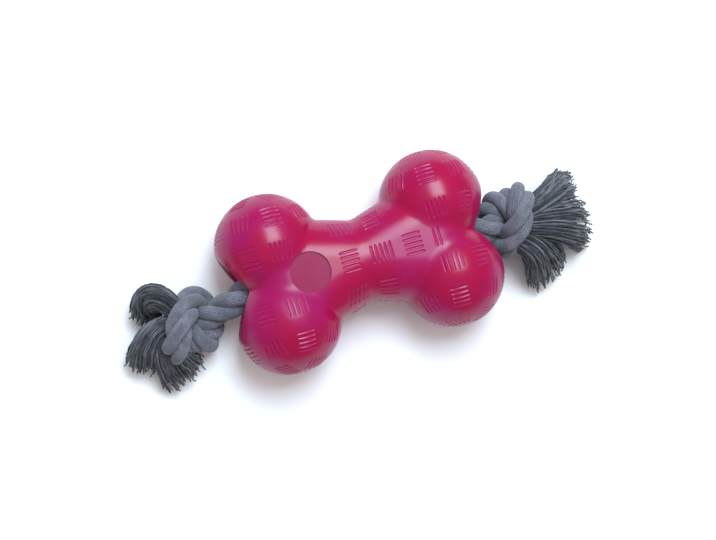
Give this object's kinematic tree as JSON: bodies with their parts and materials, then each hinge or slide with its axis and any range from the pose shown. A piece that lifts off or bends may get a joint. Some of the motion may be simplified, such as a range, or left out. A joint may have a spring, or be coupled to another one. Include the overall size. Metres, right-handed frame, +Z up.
{
  "type": "rubber chew toy",
  "caption": "Rubber chew toy for dogs: a raspberry moulded bone with four grooved ball lobes and a thick grey three-strand rope through its length, knotted and frayed into tassels at both ends",
  "frame": {"origin": "on the floor under the middle of the bone, which rests on its four lobes", "axes": "X along the bone, towards the end with the straighter rope; Y across its lobes; Z up"},
  "size_m": [0.248, 0.0916, 0.053],
  "materials": {
    "red_rubber": "satin moulded rubber, slightly translucent",
    "grey_rope": "laid cotton rope, slightly fuzzy",
    "loose_yarn": "frayed cotton yarn"
  },
  "bodies": {
    "bone": {"bone_body": "red_rubber"},
    "rope": {"rope_core": "grey_rope", "right_knot": "grey_rope"},
    "left_end": {"left_neck": "grey_rope", "left_knot": "grey_rope"},
    "left_tassel": {"left_tuft_upper": "loose_yarn", "left_tuft_middle": "loose_yarn", "left_tuft_lower": "loose_yarn"},
    "right_tassel": {"right_tuft_upper": "loose_yarn", "right_tuft_middle": "loose_yarn", "right_tuft_lower": "loose_yarn"}
  },
  "joints": [
    {"name": "rope_slide", "type": "slide", "parent": "bone", "child": "rope", "axis": [1, 0, 0], "range_m": [-0.0025, 0.003]},
    {"name": "left_bend", "type": "hinge", "parent": "rope", "child": "left_end", "pos_m": [-0.061, 0, 0.0265], "axis": [0, 0, 1], "range_deg": [-24, 4]},
    {"name": "left_tassel_swing", "type": "hinge", "parent": "left_end", "child": "left_tassel", "pos_m": [-0.104, -0.005, 0.014], "axis": [0, 0, 1], "range_deg": [-8, 8]},
    {"name": "right_tassel_swing", "type": "hinge", "parent": "rope", "child": "right_tassel", "pos_m": [0.091, -0.003, 0.023], "axis": [0, 0, 1], "range_deg": [-8, 8]}
  ]
}
